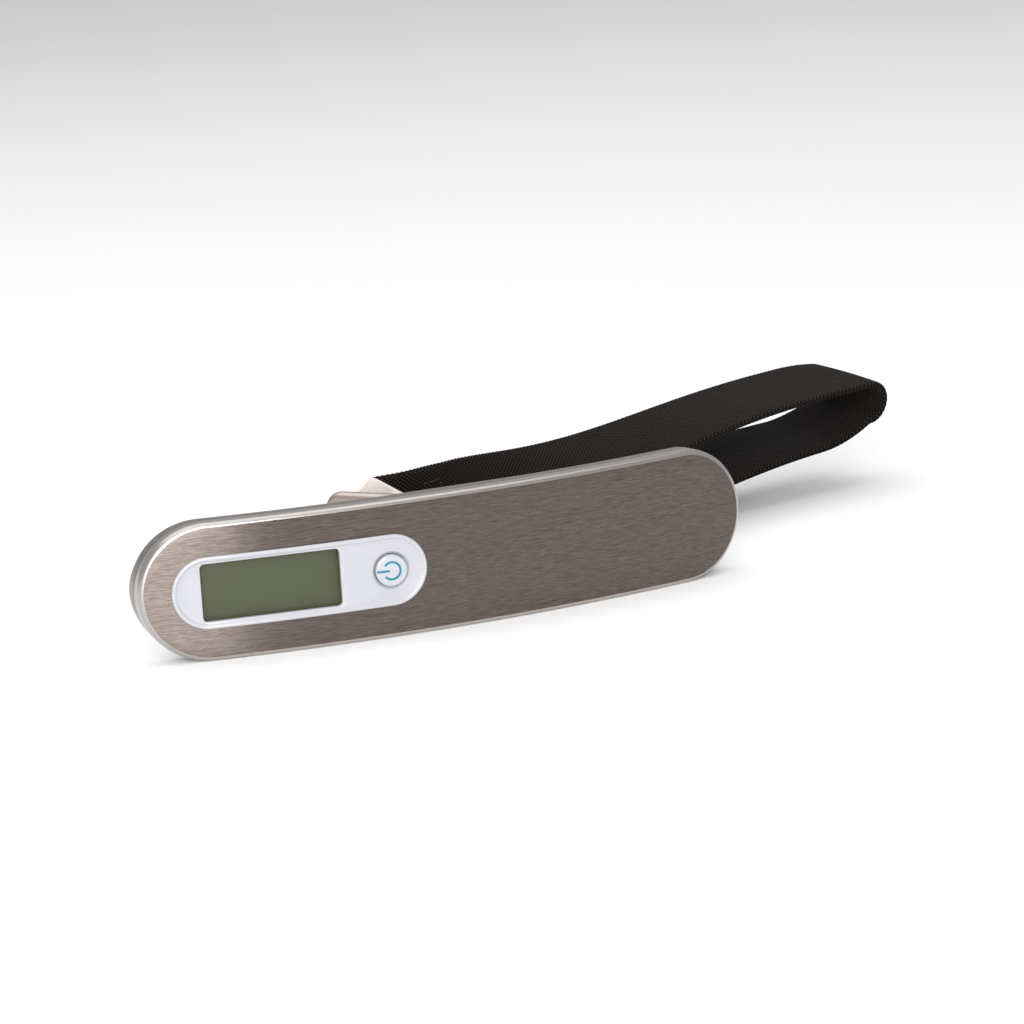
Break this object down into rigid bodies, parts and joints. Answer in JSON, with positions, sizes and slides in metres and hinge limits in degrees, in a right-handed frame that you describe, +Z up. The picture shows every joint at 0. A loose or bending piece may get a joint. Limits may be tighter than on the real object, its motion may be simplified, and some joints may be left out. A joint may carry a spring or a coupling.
{
  "type": "digital luggage scale",
  "caption": "Handle-shaped digital luggage scale: bowed metal grip with an oval display bezel and power button, and a black webbing sling on a pull rod at its back",
  "frame": {"origin": "on the flat long edge the scale stands on, straight below the middle of the display face", "axes": "+X along the grip towards its plain end, +Y from the display face towards the pull rod and sling, +Z up across the width of the grip"},
  "size_m": [0.2269, 0.0949, 0.032],
  "materials": {
    "face_steel": "brushed along the grip",
    "silver_shell": "satin silver paint",
    "dark_plastic": "moulded",
    "white_plastic": "glossy",
    "clear_window": "clear, flat",
    "lcd_glass": "grey-green display glass",
    "connector_rubber": "matt",
    "button_silver": "pearl silver",
    "symbol_blue": "printed",
    "board_green": "solder mask",
    "chip_black": "moulded epoxy",
    "screw_steel": "zinc plated",
    "cell_aluminium": "milled",
    "gauge_amber": "foil on film",
    "bracket_steel": "stamped",
    "wire_red": "PVC sleeve",
    "wire_black": "PVC sleeve",
    "satin_nickel": "satin nickel plate",
    "webbing_black": "woven webbing",
    "thread_grey": "sewing thread",
    "battery_steel": "bright",
    "contact_metal": "plated spring strip",
    "grommet_rubber": "matt"
  },
  "bodies": {
    "body": {"front_plate": "face_steel", "rear_shell": "silver_shell", "inner_frame": "dark_plastic", "case_screws": "screw_steel", "display_bezel": "white_plastic", "lcd_window": "clear_window", "lcd_panel": "lcd_glass", "lcd_connectors": "connector_rubber", "tact_switch": "dark_plastic", "main_board": "board_green", "board_chips": "chip_black", "board_screws": "screw_steel", "load_cell": "cell_aluminium", "strain_gauges": "gauge_amber", "cell_bracket": "bracket_steel", "cell_screws": "screw_steel", "cell_wires": "wire_red", "pull_rod": "screw_steel", "rod_nut": "screw_steel", "rod_grommet": "grommet_rubber", "coin_cell": "battery_steel", "contact_minus": "contact_metal", "contact_plus": "contact_metal", "battery_wires": "wire_black"},
    "button": {"power_button": "button_silver", "power_symbol": "symbol_blue"},
    "bail": {"bail": "satin_nickel"},
    "sling": {"hook_plate": "satin_nickel", "strap": "webbing_black", "strap_rivets": "satin_nickel", "strap_stitching": "thread_grey"},
    "battery_door": {"battery_door": "silver_shell"}
  },
  "joints": [
    {"name": "button_press", "type": "slide", "parent": "body", "child": "button", "axis": [0.1214, 0.9926, 0], "range_m": [0, 0.0003], "stiffness_N_per_m": 800},
    {"name": "bail_swing", "type": "hinge", "parent": "body", "child": "bail", "pos_m": [0, 0.025, 0.016], "axis": [0, 0, 1], "range_deg": [-20, 45]},
    {"name": "sling_swing", "type": "hinge", "parent": "bail", "child": "sling", "pos_m": [-0.01606, 0.04283, 0.016], "axis": [0, 0, 1], "range_deg": [0, 110]},
    {"name": "door_turn", "type": "hinge", "parent": "body", "child": "battery_door", "pos_m": [0.0602, 0.0152, 0.016], "axis": [0, 1, 0], "range_deg": [0, 60]}
  ]
}
